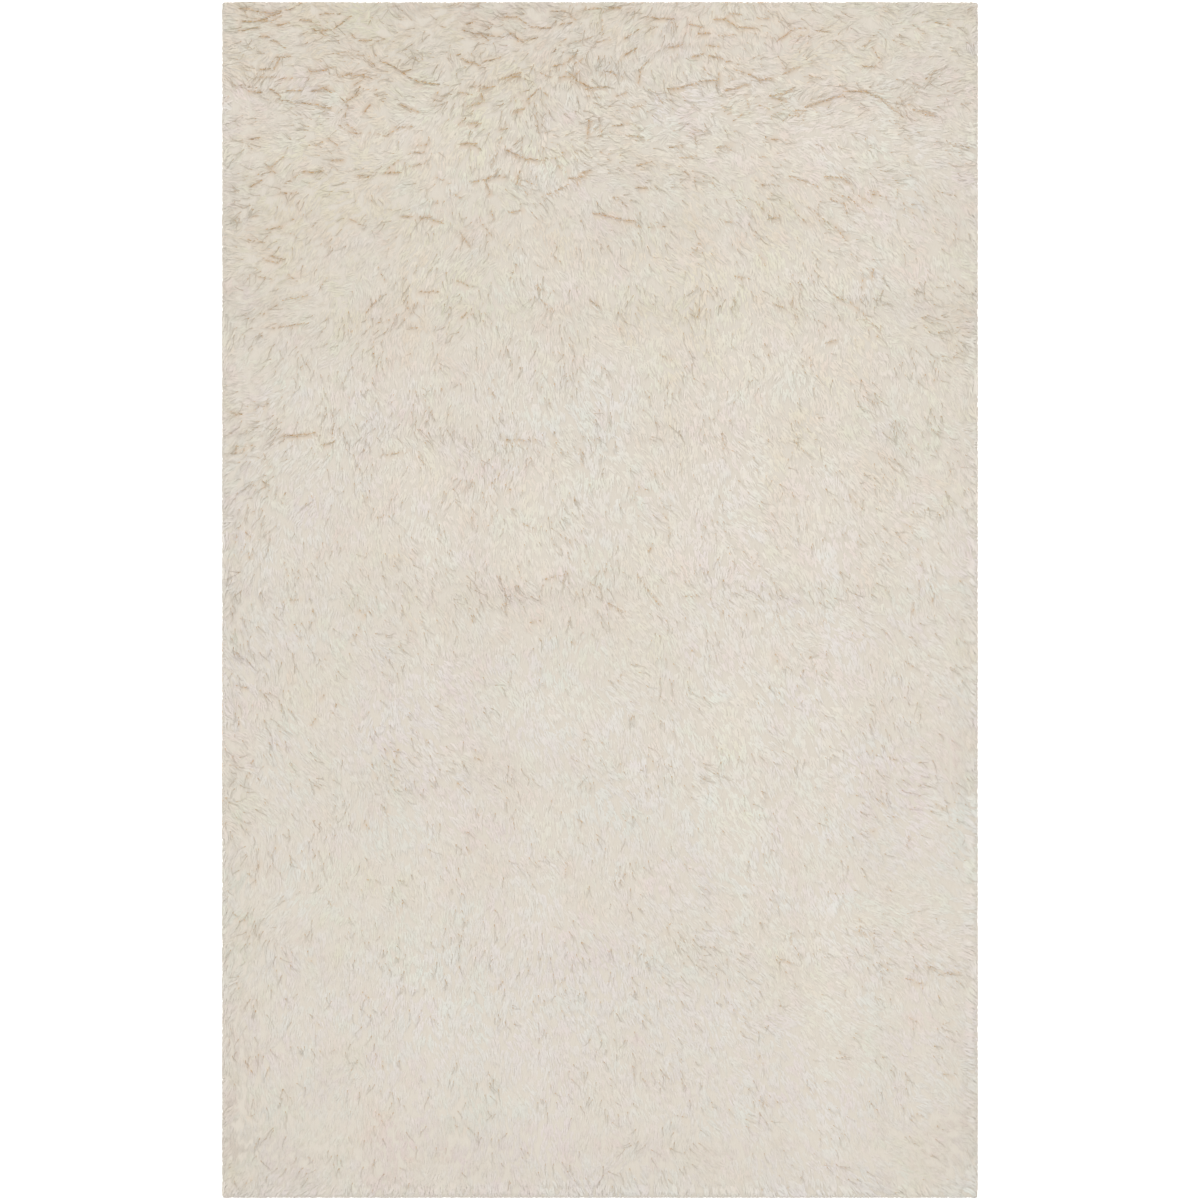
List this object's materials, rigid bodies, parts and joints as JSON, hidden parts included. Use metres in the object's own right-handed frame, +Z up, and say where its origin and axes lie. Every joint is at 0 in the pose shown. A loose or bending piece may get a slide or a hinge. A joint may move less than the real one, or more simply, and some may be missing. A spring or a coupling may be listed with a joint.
{
  "type": "shag rug",
  "caption": "Rectangular ivory shag rug lying flat, a lumpy slab of combed pile with separate locks round its rim.",
  "frame": {"origin": "middle of the rug's flat underside, on the floor", "axes": "+Z up out of the pile, +Y along the rug towards its rough head end, +X to the right seen from above"},
  "size_m": [1.524, 2.411, 0.0411],
  "materials": {
    "pile": "matt ivory shag pile, combed flat"
  },
  "bodies": {
    "root": {"rug": "pile"}
  },
  "joints": []
}
